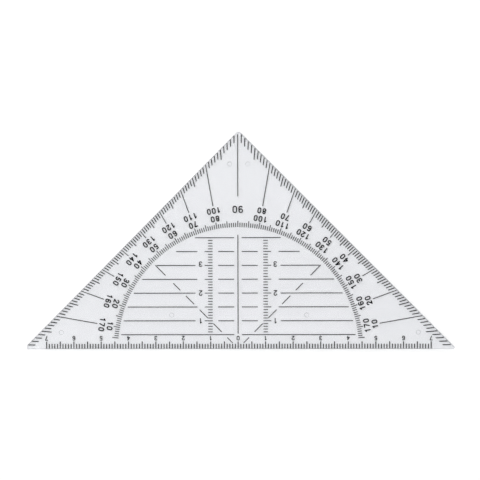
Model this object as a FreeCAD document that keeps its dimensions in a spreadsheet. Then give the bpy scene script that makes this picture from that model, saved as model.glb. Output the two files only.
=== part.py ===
import FreeCAD, Part
import math
import os
import Sketcher

# A clear 45-degree set square with a protractor, printed in black on its underside. Millimetres.
#
# The origin is the foot of the ruler's zero mark, on the ruling edge and in the plane of the printed
# face. X runs along the ruling edge, +Y points at the apex, +Z is up, off the paper. The print is drawn
# about its own zero point, and its bodies are then raised a little from the edge, as it sits on the plate.
# The plate lies between Z = 0 and its thickness. The film of ink lies on the face at Z = 0 and the
# nubs stand below it, so that the ink never touches the paper.

SIZES = [
    # the moulding
    ("long_edge", 157.6, "ruling edge between its two sharp corners"),
    ("plate_thickness", 1.6, "thickness of the plate"),
    ("plate_offset", 0.38, "the moulding's centre line, to the right of the print's"),
    ("tip_radius", 0.5, "rounding of the right-hand tip"),
    ("apex_radius", 0.8, "rounding of the right-angled corner"),
    ("blunt_corner", 1.36, "height of the trimmed end at the left-hand tip"),
    ("blunt_radius", 0.4, "rounding of the trimmed end's two corners"),
    ("edge_bevel", 0.25, "bevel round the upper face"),
    # the nubs under the plate
    ("nub_diameter", 1.6, "diameter of a nub"),
    ("nub_height", 0.3, "how far a nub stands below the plate"),
    ("nub_rounding", 0.12, "rounding of a nub's rim"),
    ("apex_nub_side", 3.3, "apex nubs, from the moulding's centre line"),
    ("apex_nub_drop", 12.0, "apex nubs, below the sharp apex"),
    ("middle_nub_side", 24.55, "middle nubs, from the moulding's centre line"),
    ("middle_nub_rise", 12.3, "middle nubs, above the ruling edge"),
    ("corner_nub_inset", 13.8, "corner nubs, in from the sharp corners"),
    ("corner_nub_rise", 6.0, "corner nubs, above the ruling edge"),
    # the print as a whole
    ("print_rise", 0.2, "the print's zero point, above the ruling edge"),
    ("graduation", 1.0, "the ruler's smallest division"),
    ("ink_thickness", 0.03, "film of ink"),
    ("tick_width", 0.26, "width of a mark on the arc and on the height scales"),
    ("edge_tick_width", 0.33, "width of a mark along the ruling edge and the legs"),
    ("line_width", 0.27, "width of a ruled line and of a ten-degree ray"),
    ("edge_gap", 0.05, "bare strip along the ruling edge and the left leg"),
    # the ruler along the ruling edge
    ("ruler_end_margin", 8.3, "least length of edge left bare past each end of the ruler"),
    ("ruler_tick", 1.68, "top of a millimetre mark, above the print's zero point"),
    ("ruler_long_tick", 2.54, "top of a five-millimetre mark, the same"),
    ("ruler_number_gap", 0.36, "between a long mark and its number"),
    ("ruler_number_clearance", 0.3, "between a number and the lowest parallel line"),
    ("ruler_number_stroke", 0.28, "width of its numbers' strokes"),
    # the degree marks along the legs
    ("leg_tick", 2.23, "depth of a one-degree mark, square to the leg"),
    ("leg_long_tick", 3.19, "depth of a five-degree mark, square to the leg"),
    ("right_leg_gap", 0.25, "bare strip along the right leg"),
    ("right_tip_gap", 2.15, "from the sharp right-hand tip to the marks"),
    ("ray_reach", 3.56, "ten-degree rays, inside the point of the leg nearest to the zero mark"),
    ("apex_line_margin", 1.26, "top of the ninety-degree line, below the sharp apex"),
    ("apex_line_gap", 3.4, "foot of the ninety-degree line, above its number"),
    # the rings of numbers and the arc of degree marks inside them
    ("number_height", 2.15, "height of the degree numbers"),
    ("ninety_height", 2.6, "height of the ninety between them"),
    ("number_stroke", 0.39, "width of their strokes"),
    ("ray_gap", 0.66, "between the rays and the outer numbers"),
    ("ring_spacing", 2.95, "between the middles of the two rings of numbers"),
    ("arc_gap", 0.32, "between the inner numbers and the arc"),
    ("arc_tick", 1.55, "length of a one-degree mark on the arc"),
    ("arc_long_tick", 2.25, "length of a five-degree mark on the arc"),
    # the field of parallel lines inside the arc
    ("row_gap", 0.9, "between the arc and the ends of the lines"),
    ("short_row_gap", 2.25, "the same for the line below the top one"),
    ("middle_gap", 1.4, "from the zero line to the inner ends of the lines"),
    ("scale_inner_gap", 2.05, "from a line's end to the height scale's marks"),
    ("scale_outer_gap", 2.7, "from its long marks to the lines beyond them"),
    ("number_outer_gap", 1.26, "from its numbers to the lines beyond them"),
    # the height scales, the zero line and the forty-five-degree lines
    ("scale_side", 9.25, "inner ends of the height scale's marks"),
    ("scale_tick", 1.63, "length of its millimetre marks"),
    ("scale_long_tick", 2.85, "length of its five-millimetre marks"),
    ("height_number_gap", 0.86, "from its long marks to its numbers"),
    ("height_number_height", 2.0, "height of its numbers"),
    ("height_number_stroke", 0.29, "width of their strokes"),
    ("top_number_rise", 0.45, "how far the uppermost number stands above its line"),
    ("zero_line_gap", 0.8, "from the ruler's zero to the foot of the zero line"),
    ("zero_line_overrun", 1.0, "how far it passes the top line"),
    ("diagonal_start_gap", 0.36, "from a millimetre mark's top up to a forty-five-degree line"),
    ("diagonal_gap", 0.95, "half the gap where it would cross a parallel line"),
    ("last_diagonal_gap", 1.4, "the same at the last parallel line that it crosses"),
    ("diagonal_end_gap", 0.1, "between it and the height scales, and the line that meets it at its top"),
]

# As shares of a number's height: half a digit's width, and the distance from one digit to the next.
DIGIT_REACH = 0.32
DIGIT_PITCH = 0.83

# What is worked out from the sizes, as expressions on the sheet. From APEX on, the print's own points
# are counted from its zero point, and radii are round that point.
HALF_EDGE = "sizes.long_edge / 2"
NUB_RADIUS = "sizes.nub_diameter / 2"
LEG_DISTANCE = f"({HALF_EDGE} / sqrt(2))"
CENTIMETRE = "(10 * sizes.graduation)"
ROW_PITCH = "(5 * sizes.graduation)"
RULER_HALF = f"(floor(({HALF_EDGE} - sizes.ruler_end_margin) / {CENTIMETRE}) * {CENTIMETRE})"
APEX = f"({HALF_EDGE} - sizes.print_rise)"
LEFT_REACH = f"({APEX} - sizes.plate_offset - sizes.edge_gap * sqrt(2))"
LEFT_CORNER = f"({HALF_EDGE} - sizes.plate_offset - sizes.blunt_corner - sizes.edge_gap)"
RIGHT_REACH = f"({APEX} + sizes.plate_offset - sizes.right_leg_gap * sqrt(2))"
RIGHT_CORNER = f"({HALF_EDGE} + sizes.plate_offset - sizes.right_tip_gap)"
RAY_START = f"({LEG_DISTANCE} - sizes.ray_reach)"
OUTER_RING = f"({RAY_START} - sizes.ray_gap - sizes.number_height / 2)"
INNER_RING = f"({OUTER_RING} - sizes.ring_spacing)"
ARC_OUTER = f"({INNER_RING} - sizes.number_height / 2 - sizes.arc_gap)"
ARC_INNER = f"({ARC_OUTER} - sizes.arc_long_tick)"
ROW_REACH = f"({ARC_INNER} - sizes.row_gap)"
ROW_COUNT = f"floor({ROW_REACH} / {ROW_PITCH})"
TOP_ROW = f"({ROW_COUNT} * {ROW_PITCH})"
CROSSINGS = f"floor({ROW_REACH} / sqrt(2) / {ROW_PITCH})"
DIAGONAL_TOP = f"({CROSSINGS} * {ROW_PITCH})"
NUMBERED_ROWS = f"floor(({ROW_COUNT} - 1) / 2)"
APEX_LINE_FOOT = f"({OUTER_RING} + sizes.number_height / 2 + sizes.apex_line_gap)"
NUMBER_FOOT = "(sizes.ruler_long_tick + sizes.ruler_number_gap)"
NUMBER_TOP = f"({ROW_PITCH} - sizes.line_width / 2 - sizes.ruler_number_clearance)"
SCALE_END = "(sizes.scale_side + sizes.scale_long_tick)"
HEIGHT_NUMBER_REACH = f"({DIGIT_REACH} * sizes.height_number_height)"
HEIGHT_NUMBER_SIDE = f"({SCALE_END} + sizes.height_number_gap + {HEIGHT_NUMBER_REACH})"

DEGREES_PER_LONG_TICK = 5
DEGREES_PER_RAY = 10

document = FreeCAD.newDocument("set_square")


def make_sheet():
    """The sheet of driving dimensions, one named cell each."""
    sheet = document.addObject("Spreadsheet::Sheet", "sizes")
    for row, (alias, number, meaning) in enumerate(SIZES, start=1):
        sheet.set(f"A{row}", alias)
        sheet.set(f"B{row}", str(number))
        sheet.set(f"C{row}", meaning)
        sheet.setAlias(f"B{row}", alias)
    document.recompute()
    return sheet


sizes = make_sheet()


def value(expression):
    """The number that an expression on the sheet gives now."""
    return float(sizes.evalExpression(expression))


def new_body(name):
    """An empty body that may hold many separate solids, as a print does."""
    body = document.addObject("PartDesign::Body", name)
    body.Label = name
    body.AllowCompound = True
    return body


def origin_feature(body, role):
    """One of the body's own origin planes or axes."""
    return next(feature for feature in body.Origin.OriginFeatures if feature.Role == role)


def new_sketch(body, name, turned=0):
    """A sketch on the body's XY plane, turned about the zero mark by an angle in degrees."""
    sketch = body.newObject("Sketcher::SketchObject", f"{body.Name}_{name}")
    sketch.AttachmentSupport = [(origin_feature(body, "XY_Plane"), "")]
    sketch.MapMode = "FlatFace"
    sketch.AttachmentOffset = FreeCAD.Placement(
        FreeCAD.Vector(), FreeCAD.Rotation(FreeCAD.Vector(0, 0, 1), turned)
    )
    return sketch


def bind(sketch, kind, geometry, point, expression):
    """Holds one coordinate of a point, or a radius where point is None, to an expression."""
    where = (geometry,) if point is None else (geometry, point)
    index = sketch.addConstraint(Sketcher.Constraint(kind, *where, value(expression)))
    sketch.setExpression(f"Constraints[{index}]", expression)


def outline(sketch, corners):
    """A closed outline of straight lines. Each corner is a pair of expressions, for X and for Y."""
    points = [FreeCAD.Vector(value(x), value(y), 0) for x, y in corners]
    lines = []
    for start, end in zip(points, points[1:] + points[:1]):
        lines.append(sketch.addGeometry(Part.LineSegment(start, end)))
    for line, following in zip(lines, lines[1:] + lines[:1]):
        sketch.addConstraint(Sketcher.Constraint("Coincident", line, 2, following, 1))
    for line, (x, y) in zip(lines, corners):
        bind(sketch, "DistanceX", line, 1, x)
        bind(sketch, "DistanceY", line, 1, y)


def rectangle(sketch, left, right, bottom, top):
    """A rectangle between four expressions."""
    outline(sketch, [(left, bottom), (right, bottom), (right, top), (left, top)])


def circle(sketch, x, y, radius):
    """A circle round a point, all three given as expressions."""
    centre = FreeCAD.Vector(value(x), value(y), 0)
    index = sketch.addGeometry(Part.Circle(centre, FreeCAD.Vector(0, 0, 1), value(radius)))
    bind(sketch, "DistanceX", index, 3, x)
    bind(sketch, "DistanceY", index, 3, y)
    bind(sketch, "Radius", index, None, radius)


def pad(body, sketch, length, downwards):
    """Grows a sketch into material, up into the plate or down into ink and nubs."""
    feature = body.newObject("PartDesign::Pad", f"{sketch.Name}_pad")
    feature.Profile = sketch
    feature.setExpression("Length", length)
    feature.Reversed = downwards
    body.Tip = feature
    document.recompute()
    return feature


def ink(body, sketch):
    """A film of ink on the underside."""
    return pad(body, sketch, "sizes.ink_thickness", downwards=True)


def clear(body, sketch):
    """Takes the ink away inside a sketch."""
    feature = body.newObject("PartDesign::Pocket", f"{sketch.Name}_clear")
    feature.Profile = sketch
    feature.Type = "ThroughAll"
    body.Tip = feature
    document.recompute()
    return feature


def repeat_along(body, original, role, length, count):
    """Repeats a feature along one of the body's axes."""
    pattern = body.newObject("PartDesign::LinearPattern", f"{original.Name}_row")
    pattern.Originals = [original]
    pattern.Direction = (origin_feature(body, role), [""])
    pattern.setExpression("Length", length)
    pattern.setExpression("Occurrences", count)
    body.Tip = pattern
    document.recompute()
    return pattern


def repeat_round(body, original, sweep, count):
    """Repeats a feature about the zero mark, count copies over a sweep in degrees."""
    pattern = body.newObject("PartDesign::PolarPattern", f"{original.Name}_fan")
    pattern.Originals = [original]
    pattern.Axis = (origin_feature(body, "Z_Axis"), [""])
    pattern.Angle = sweep
    pattern.Occurrences = count
    body.Tip = pattern
    document.recompute()
    return pattern


# ---------------------------------------------------------------- the moulding


def edges_where(feature, test):
    """The names of a feature's edges that pass a test."""
    edges = enumerate(feature.Shape.Edges, start=1)
    return [f"Edge{index}" for index, edge in edges if test(edge)]


def stands_at(edge, x, y):
    """Whether an edge is upright and stands at a place in plan."""
    box = edge.BoundBox
    upright = box.XLength < 1e-3 and box.YLength < 1e-3
    return upright and math.hypot(box.Center.x - x, box.Center.y - y) < 1e-3


def round_edges(body, feature, names, radius):
    """Rounds some edges of a feature."""
    fillet = body.newObject("PartDesign::Fillet", f"{body.Name}_rounding")
    fillet.Base = (feature, names)
    fillet.setExpression("Radius", radius)
    body.Tip = fillet
    document.recompute()
    return fillet


def make_clear_plate():
    """The moulded plate: a right-angled triangle with one trimmed tip, and six nubs below."""
    body = new_body("clear_plate")
    left = f"sizes.plate_offset - {HALF_EDGE} + sizes.blunt_corner"
    right = f"sizes.plate_offset + {HALF_EDGE}"
    apex = ("sizes.plate_offset", HALF_EDGE)
    profile = new_sketch(body, "profile")
    outline(profile, [(left, "0"), (right, "0"), apex, (left, "sizes.blunt_corner")])
    plate = pad(body, profile, "sizes.plate_thickness", downwards=False)

    for corners, radius in (
        ([(right, "0")], "sizes.tip_radius"),
        ([apex], "sizes.apex_radius"),
        ([(left, "0"), (left, "sizes.blunt_corner")], "sizes.blunt_radius"),
    ):
        places = [(value(x), value(y)) for x, y in corners]
        names = edges_where(plate, lambda edge: any(stands_at(edge, x, y) for x, y in places))
        plate = round_edges(body, plate, names, radius)

    thickness = value("sizes.plate_thickness")
    bevel = body.newObject("PartDesign::Chamfer", "clear_plate_bevel")
    bevel.Base = (plate, edges_where(plate, lambda edge: edge.BoundBox.ZMin > thickness - 1e-3))
    bevel.setExpression("Size", "sizes.edge_bevel")
    body.Tip = bevel
    document.recompute()

    nubs = new_sketch(body, "nubs")
    for side in ("-", "+"):
        middle = f"sizes.plate_offset {side} "
        corner = f"{middle}({HALF_EDGE} - sizes.corner_nub_inset)"
        circle(nubs, f"{middle}sizes.apex_nub_side", f"{HALF_EDGE} - sizes.apex_nub_drop", NUB_RADIUS)
        circle(nubs, f"{middle}sizes.middle_nub_side", "sizes.middle_nub_rise", NUB_RADIUS)
        circle(nubs, corner, "sizes.corner_nub_rise", NUB_RADIUS)
    feet = pad(body, nubs, "sizes.nub_height", downwards=True)
    depth = value("sizes.nub_height")
    rims = edges_where(feet, lambda edge: edge.BoundBox.ZMax < 1e-3 - depth)
    round_edges(body, feet, rims, "sizes.nub_rounding")
    return body


# ---------------------------------------------------------------- marks and lines


def make_ruler_ticks():
    """Millimetre marks along the ruling edge, with every fifth one longer."""
    body = new_body("ruler_ticks")
    left = f"-{RULER_HALF} - sizes.edge_tick_width / 2"
    right = f"-{RULER_HALF} + sizes.edge_tick_width / 2"
    for name, top, step in (
        ("tick", "sizes.ruler_tick", "sizes.graduation"),
        ("long_tick", "sizes.ruler_long_tick", ROW_PITCH),
    ):
        sketch = new_sketch(body, name)
        rectangle(sketch, left, right, "sizes.edge_gap - sizes.print_rise", top)
        first = ink(body, sketch)
        repeat_along(body, first, "X_Axis", f"2 * {RULER_HALF}", f"round(2 * {RULER_HALF} / {step}) + 1")
    return body


def arc_start():
    """The first long mark on the arc, in degrees, that passes beside or above the ruler's numbers."""
    pitch = value(CENTIMETRE)
    reach = value(f"{DIGIT_REACH} * ({NUMBER_TOP} - {NUMBER_FOOT}) + sizes.arc_gap")
    angle = DEGREES_PER_LONG_TICK
    while value(ARC_INNER) * math.sin(math.radians(angle)) < value(f"{NUMBER_TOP} + sizes.arc_gap"):
        across = math.cos(math.radians(angle))
        nearest = math.ceil((value(ARC_INNER) * across - reach) / pitch) * pitch
        if nearest > value(ARC_OUTER) * across + reach:
            break
        angle += DEGREES_PER_LONG_TICK
    return angle


def make_arc_ticks():
    """Degree marks on the arc round the zero mark, with every fifth one longer."""
    body = new_body("arc_ticks")
    start = arc_start()
    sweep = 180 - 2 * start
    half = "sizes.tick_width / 2"
    for name, length, step in (
        ("tick", "sizes.arc_tick", 1),
        ("long_tick", "sizes.arc_long_tick", DEGREES_PER_LONG_TICK),
    ):
        sketch = new_sketch(body, name, turned=start)
        rectangle(sketch, ARC_INNER, f"{ARC_INNER} + {length}", f"-{half}", half)
        first = ink(body, sketch)
        repeat_round(body, first, sweep, sweep // step + 1)
    return body


def fan(body, name, first_angle, step, inner, width):
    """Radial marks every few degrees across one leg, from a radius to past the plate's edge."""
    count = (90 - first_angle % 90 - 1) // step + 1
    half = f"{width} / 2"
    sketch = new_sketch(body, name, turned=first_angle)
    rectangle(sketch, inner, f"{HALF_EDGE} + 1", f"-{half}", half)
    first = ink(body, sketch)
    repeat_round(body, first, (count - 1) * step, count)


def trim_inside(body, name, side, depth):
    """Clears one side's marks further in from the leg than a depth."""
    reach = f"({APEX} - {depth} * sqrt(2))"
    sketch = new_sketch(body, name)
    outline(sketch, [("0", "0"), (f"{side} * {reach}", "0"), ("0", reach)])
    clear(body, sketch)


def trim_outside(body, side):
    """Clears one side's marks beyond the strip that stays bare along the leg and at the tip."""
    beyond = f"({HALF_EDGE} + 5)"
    reach, corner = (RIGHT_REACH, RIGHT_CORNER) if side > 0 else (LEFT_REACH, LEFT_CORNER)
    sketch = new_sketch(body, "beyond")
    corners = [
        (f"{side} * {corner}", "0"),
        (f"{side} * {corner}", f"{reach} - {corner}"),
        ("0", reach),
        ("0", beyond),
        (f"{side} * {beyond}", beyond),
        (f"{side} * {beyond}", "0"),
    ]
    outline(sketch, corners)
    clear(body, sketch)


def make_leg_ticks(name, side, base_angle):
    """The degree marks along one leg: one-degree, five-degree and the rays at each ten degrees."""
    body = new_body(name)
    start = f"({RAY_START} - 1)"
    width = "sizes.edge_tick_width"
    fan(body, "one_degree", base_angle + 1, 1, start, width)
    trim_inside(body, "short_depth", side, "sizes.leg_tick")
    fan(body, "five_degree", base_angle + DEGREES_PER_LONG_TICK, DEGREES_PER_RAY, start, width)
    trim_inside(body, "long_depth", side, "sizes.leg_long_tick")
    fan(body, "ten_degree", base_angle + DEGREES_PER_RAY, DEGREES_PER_RAY, RAY_START, "sizes.line_width")
    trim_outside(body, side)
    return body


def make_centre_line():
    """The zero line up the middle of the field and the ninety-degree line below the apex."""
    body = new_body("centre_line")
    for name, foot, top in (
        ("zero", f"{NUMBER_TOP} + sizes.zero_line_gap", f"{TOP_ROW} + sizes.zero_line_overrun"),
        ("ninety", APEX_LINE_FOOT, f"{APEX} - sizes.apex_line_margin"),
    ):
        sketch = new_sketch(body, name)
        rectangle(sketch, "-sizes.line_width / 2", "sizes.line_width / 2", foot, top)
        ink(body, sketch)
    return body


def row_line(body, name, height):
    """One line right across the arc at a height above the ruling edge."""
    sketch = new_sketch(body, name)
    half = "sizes.line_width / 2"
    rectangle(sketch, f"-{ROW_REACH}", ROW_REACH, f"{height} - {half}", f"{height} + {half}")
    return ink(body, sketch)


def trim_to_circle(body, name, radius):
    """Clears the lines outside a circle round the zero mark."""
    sketch = new_sketch(body, name)
    circle(sketch, "0", "0", radius)
    circle(sketch, "0", "0", f"{LEG_DISTANCE} * 2")
    clear(body, sketch)


def make_parallel_lines():
    """Lines parallel to the ruling edge, with gaps for the zero line, the scales and the numbers."""
    body = new_body("parallel_lines")
    row_line(body, "short_row", f"({TOP_ROW} - {ROW_PITCH})")
    trim_to_circle(body, "short_reach", f"{ARC_INNER} - sizes.short_row_gap")
    first_row = row_line(body, "row", ROW_PITCH)
    repeat_along(body, first_row, "Y_Axis", f"({ROW_COUNT} - 3) * {ROW_PITCH}", f"{ROW_COUNT} - 2")
    row_line(body, "top_row", TOP_ROW)
    trim_to_circle(body, "reach", ROW_REACH)

    half_pitch = f"{ROW_PITCH} / 2"
    ends = new_sketch(body, "diagonal_ends")
    meeting = f"({DIAGONAL_TOP} - sizes.line_width / 2 * (1 + sqrt(2)) - sizes.diagonal_end_gap)"
    below, above = f"{DIAGONAL_TOP} - {half_pitch}", f"{DIAGONAL_TOP} + {half_pitch}"
    for side in (-1, 1):
        rectangle(ends, f"{side} * {meeting}", f"{side} * {HALF_EDGE}", below, above)
    clear(body, ends)
    middle = new_sketch(body, "middle_window")
    rectangle(middle, "-sizes.middle_gap", "sizes.middle_gap", half_pitch, f"{TOP_ROW} + {half_pitch}")
    clear(body, middle)
    scales = new_sketch(body, "scale_window")
    numbers = new_sketch(body, "number_window")
    for side in (-1, 1):
        inner = f"{side} * (sizes.scale_side - sizes.scale_inner_gap)"
        outer = f"{side} * ({SCALE_END} + sizes.scale_outer_gap)"
        rectangle(scales, inner, outer, f"3 * {half_pitch}", f"{TOP_ROW} - {half_pitch}")
        beside = f"{side} * ({HEIGHT_NUMBER_SIDE} + {HEIGHT_NUMBER_REACH} + sizes.number_outer_gap)"
        rectangle(numbers, inner, beside, f"3 * {half_pitch}", f"5 * {half_pitch}")
    clear(body, scales)
    window = clear(body, numbers)
    repeat_along(body, window, "Y_Axis", f"({NUMBERED_ROWS} - 1) * {CENTIMETRE}", NUMBERED_ROWS)
    return body


def make_height_scale(name, side):
    """Millimetre marks beside the zero line, between the lowest line and the top one."""
    body = new_body(name)
    inner = f"{side} * sizes.scale_side"
    for mark, length, step, first in (
        ("tick", "sizes.scale_tick", "sizes.graduation", f"({ROW_PITCH} + sizes.graduation)"),
        ("long_tick", "sizes.scale_long_tick", ROW_PITCH, CENTIMETRE),
    ):
        sketch = new_sketch(body, mark)
        outer = f"{side} * (sizes.scale_side + {length})"
        rectangle(sketch, inner, outer, f"{first} - sizes.tick_width / 2", f"{first} + sizes.tick_width / 2")
        original = ink(body, sketch)
        sweep = f"({TOP_ROW} - {step} - {first})"
        repeat_along(body, original, "Y_Axis", sweep, f"round({sweep} / {step}) + 1")
    return body


def make_diagonal_lines():
    """Lines at forty-five degrees through the zero mark, broken where they would cross a row."""
    body = new_body("diagonal_lines")
    start = "(sizes.ruler_tick + sizes.diagonal_start_gap) * sqrt(2)"
    end = f"{DIAGONAL_TOP} * sqrt(2) + sizes.line_width / 2"
    for name, angle in (("right", 45), ("left", 135)):
        sketch = new_sketch(body, name, turned=angle)
        rectangle(sketch, start, end, "-sizes.line_width / 2", "sizes.line_width / 2")
        ink(body, sketch)
    gap = new_sketch(body, "gap")
    below, above = f"{ROW_PITCH} - sizes.diagonal_gap", f"{ROW_PITCH} + sizes.diagonal_gap"
    rectangle(gap, f"-{ROW_REACH}", ROW_REACH, below, above)
    repeat_along(body, clear(body, gap), "Y_Axis", f"{DIAGONAL_TOP} - 3 * {ROW_PITCH}", f"{CROSSINGS} - 2")
    last = new_sketch(body, "last_gap")
    row = f"({DIAGONAL_TOP} - {ROW_PITCH})"
    below, above = f"{row} - sizes.last_diagonal_gap", f"{row} + sizes.last_diagonal_gap"
    rectangle(last, f"-{ROW_REACH}", ROW_REACH, below, above)
    clear(body, last)
    scales = new_sketch(body, "scale_band")
    for side in (-1, 1):
        inner = f"{side} * (sizes.scale_side - sizes.diagonal_end_gap)"
        outer = f"{side} * (sizes.scale_side + sizes.scale_tick + sizes.diagonal_end_gap)"
        rectangle(scales, inner, outer, ROW_PITCH, TOP_ROW)
    clear(body, scales)
    return body


# ---------------------------------------------------------------- numbers


def line(start, end):
    """A straight stretch of a stroke's middle line."""
    return Part.LineSegment(FreeCAD.Vector(*start, 0), FreeCAD.Vector(*end, 0)).toShape()


def arc(start, through, end):
    """A round stretch of a stroke's middle line."""
    return Part.Arc(*(FreeCAD.Vector(*point, 0) for point in (start, through, end))).toShape()


def digit_strokes(share):
    """The middle lines of each digit's strokes, for a digit of height 1 and strokes of some share of it."""
    wide = DIGIT_REACH - share / 2
    top = (1 - share) / 2
    bowl = top - wide
    slant = wide * math.sqrt(0.5)
    half = top / 2
    lean = wide - half
    small = 0.46 * top
    waist = top - 2 * small
    zero_left = [arc((0, top), (-slant, bowl + slant), (-wide, bowl)), line((-wide, bowl), (-wide, -bowl))]
    zero_left.append(arc((-wide, -bowl), (-slant, -bowl - slant), (0, -top)))
    zero_right = [arc((0, top), (slant, bowl + slant), (wide, bowl)), line((wide, bowl), (wide, -bowl))]
    zero_right.append(arc((wide, -bowl), (slant, -bowl - slant), (0, -top)))
    stem = 0.23 * wide
    one = [line((-0.58 * wide, 0.57 * top), (stem, top)), line((stem, top), (stem, -top))]
    two = [arc((-wide, bowl), (0, top), (slant, bowl - slant)), line((slant, bowl - slant), (-wide, -top))]
    two.append(line((-wide, -top), (wide, -top)))
    hook, bend = (-0.86 * wide, 0.69 * top), (-0.47 * wide, 0.94 * top)
    three = [arc(hook, bend, (lean, top)), arc((lean, top), (wide, half), (lean, 0))]
    three.append(arc((lean, 0), (wide, -half), (lean, -top)))
    three.append(arc((lean, -top), (bend[0], -bend[1]), (hook[0], -hook[1])))
    bar = -0.39 * top
    four = [line((0.5 * wide, top), (-wide, bar)), line((-wide, bar), (wide, bar))]
    corner, turn = (-0.7 * wide, top), (-0.78 * wide, -0.05 * top)
    five = [line((0.82 * wide, top), corner), line(corner, turn)]
    six = [arc((0.78 * wide, bowl + 0.626 * wide), (0, top), (-wide, bowl))]
    six += [line((-wide, bowl), (-wide, -bowl)), arc((-wide, -bowl), (0, -top), (wide, -bowl))]
    seven = [line((-wide, top), (wide, top)), line((wide, top), (-0.31 * wide, -top))]
    head = [arc((-small, top - small), (0, top), (small, top - small))]
    chin = [arc((-small, top - small), (0, waist), (small, top - small))]
    belly = (top + waist) / 2
    belly_top = [arc((-belly, belly - top), (0, waist), (belly, belly - top))]
    belly_foot = [arc((-belly, belly - top), (0, -top), (belly, belly - top))]
    return {
        "0": [zero_left, zero_right],
        "1": [one],
        "2": [two],
        "3": [three, [line((-0.27 * wide, 0), (lean, 0))]],
        "4": [[line((0.5 * wide, top), (0.5 * wide, -top))], four],
        "5": [five, [arc(turn, (wide, -bowl), (-0.86 * wide, -0.71 * top))]],
        "6": [six, [arc((-wide, -bowl), (0, wide - bowl), (wide, -bowl))]],
        "7": [seven],
        "8": [head, chin, belly_top, belly_foot],
    }


def stroke_face(stroke, radius):
    """The area that a round pen covers along a stroke's middle line."""
    if len(stroke) > 1 or stroke[0].Curve.TypeId == "Part::GeomCircle":
        return Part.Face(Part.Wire(stroke).makeOffset2D(radius))
    start, end = [vertex.Point for vertex in stroke[0].Vertexes]
    along = (end - start).normalize() * radius
    across = FreeCAD.Vector(-along.y, along.x, 0)
    sides = [
        Part.LineSegment(start + across, end + across),
        Part.Arc(end + across, end + along, end - across),
        Part.LineSegment(end - across, start - across),
        Part.Arc(start - across, start - along, start + across),
    ]
    return Part.Face(Part.Wire([side.toShape() for side in sides]))


def make_digits(height, width):
    """Each digit as ink, of a height and a width of stroke, round its own middle."""
    digits = {}
    for name, strokes in digit_strokes(width / height).items():
        solids = []
        for stroke in strokes:
            face = stroke_face(stroke, width / height / 2)
            face.scale(height)
            solids.append(face.extrude(FreeCAD.Vector(0, 0, -value("sizes.ink_thickness"))))
        joined = solids[0].fuse(solids[1:]).removeSplitter() if len(solids) > 1 else solids[0]
        digits[name] = joined.Solids[0]
    # a nine is a six turned over
    nine = digits["6"].copy()
    nine.rotate(FreeCAD.Vector(), FreeCAD.Vector(0, 0, 1), 180)
    digits["9"] = nine
    return digits


def number_solids(digits, text, height, x, y, turned):
    """A number's digits, centred on a point and turned about it by an angle in degrees."""
    solids = []
    place = FreeCAD.Placement(
        FreeCAD.Vector(x, y, 0), FreeCAD.Rotation(FreeCAD.Vector(0, 0, 1), turned)
    )
    for index, character in enumerate(text):
        offset = (index - (len(text) - 1) / 2) * DIGIT_PITCH * height
        shift = FreeCAD.Placement(FreeCAD.Vector(offset, 0, 0), FreeCAD.Rotation())
        solids.append(digits[character].transformed((place * shift).toMatrix()))
    return solids


def number_feature(name, solids):
    """One node for a whole set of numbers."""
    feature = document.addObject("Part::Feature", name)
    feature.Label = name
    feature.Shape = Part.makeCompound(solids)
    document.recompute()
    return feature


def make_ruler_numbers():
    """Centimetres to both sides of zero, head down, over the ruler's long marks."""
    height = value(f"{NUMBER_TOP} - {NUMBER_FOOT}")
    middle = value(NUMBER_FOOT) + height / 2
    pitch = value(CENTIMETRE)
    last = round(value(RULER_HALF) / pitch)
    digits = make_digits(height, value("sizes.ruler_number_stroke"))
    solids = []
    for number in range(-last, last + 1):
        solids += number_solids(digits, str(abs(number)), height, number * pitch, middle, 180)
    return number_feature("ruler_numbers", solids)


def ring_of_numbers(radius, height, numbers):
    """Numbers round the zero mark, each at its angle and with its head towards the zero mark."""
    digits = make_digits(height, value("sizes.number_stroke"))
    solids = []
    for angle, number in numbers:
        x = radius * math.cos(math.radians(angle))
        y = radius * math.sin(math.radians(angle))
        solids += number_solids(digits, str(number), height, x, y, angle + 90)
    return solids


def make_outer_degree_numbers():
    """Degrees measured from the right-hand end of the ruling edge, with a larger ninety at the top."""
    height, ninety = value("sizes.number_height"), value("sizes.ninety_height")
    radius = value(OUTER_RING)
    angles = [angle for angle in range(DEGREES_PER_RAY, 180, DEGREES_PER_RAY) if angle != 90]
    solids = ring_of_numbers(radius, height, [(angle, angle) for angle in angles])
    solids += ring_of_numbers(radius + (height - ninety) / 2, ninety, [(90, 90)])
    return number_feature("outer_degree_numbers", solids)


def make_inner_degree_numbers():
    """The same measured from the left-hand end, with no second ninety."""
    angles = [angle for angle in range(DEGREES_PER_RAY, 180, DEGREES_PER_RAY) if angle != 90]
    numbers = [(angle, 180 - angle) for angle in angles]
    solids = ring_of_numbers(value(INNER_RING), value("sizes.number_height"), numbers)
    return number_feature("inner_degree_numbers", solids)


def make_height_numbers():
    """Centimetres above the ruling edge, head down, outside each height scale."""
    height = value("sizes.height_number_height")
    side = value(HEIGHT_NUMBER_SIDE)
    pitch = value(CENTIMETRE)
    last = int(value(NUMBERED_ROWS))
    digits = make_digits(height, value("sizes.height_number_stroke"))
    solids = []
    for number in range(1, last + 1):
        y = number * pitch + (value("sizes.top_number_rise") if number == last else 0)
        for x in (-side, side):
            solids += number_solids(digits, str(number), height, x, y, 180)
    return number_feature("height_numbers", solids)


# ---------------------------------------------------------------- the whole part


def check(parts):
    """Stops if any object failed or any sub-part has no valid solid."""
    for item in document.Objects:
        if "Invalid" in item.State or "Error" in item.State:
            raise RuntimeError(f"{item.Name} is {item.State}")
    for part in parts:
        if part.Shape.isNull() or not part.Shape.isValid() or not part.Shape.Solids:
            raise RuntimeError(f"{part.Label} has no valid shape")


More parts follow.
